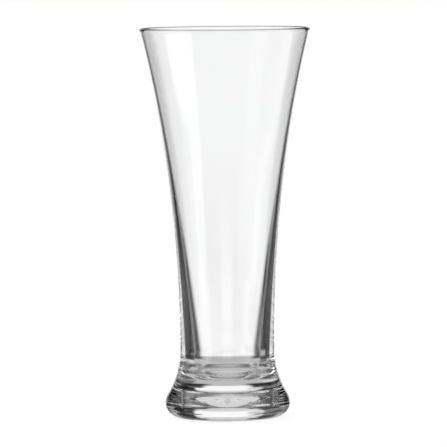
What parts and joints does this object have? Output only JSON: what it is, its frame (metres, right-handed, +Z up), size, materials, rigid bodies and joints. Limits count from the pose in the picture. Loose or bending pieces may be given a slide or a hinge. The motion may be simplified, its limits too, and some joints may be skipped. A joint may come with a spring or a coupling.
{
  "type": "pilsner glass",
  "caption": "Footed pilsner glass: a slim bowl that flares to a wide open mouth, joined to a heavy solid foot with a standing ring and a shallow hollow beneath.",
  "frame": {"origin": "centre of the flat ring that the glass stands on, at table height", "axes": "+Z up along the axis of turning, from the foot to the mouth; X and Y lie in the table's plane and are free, because the glass is round"},
  "size_m": [0.0798, 0.0798, 0.182],
  "materials": {
    "clear_glass": "fire polished, clear and colourless"
  },
  "bodies": {
    "root": {"bowl": "clear_glass", "foot": "clear_glass"}
  },
  "joints": []
}
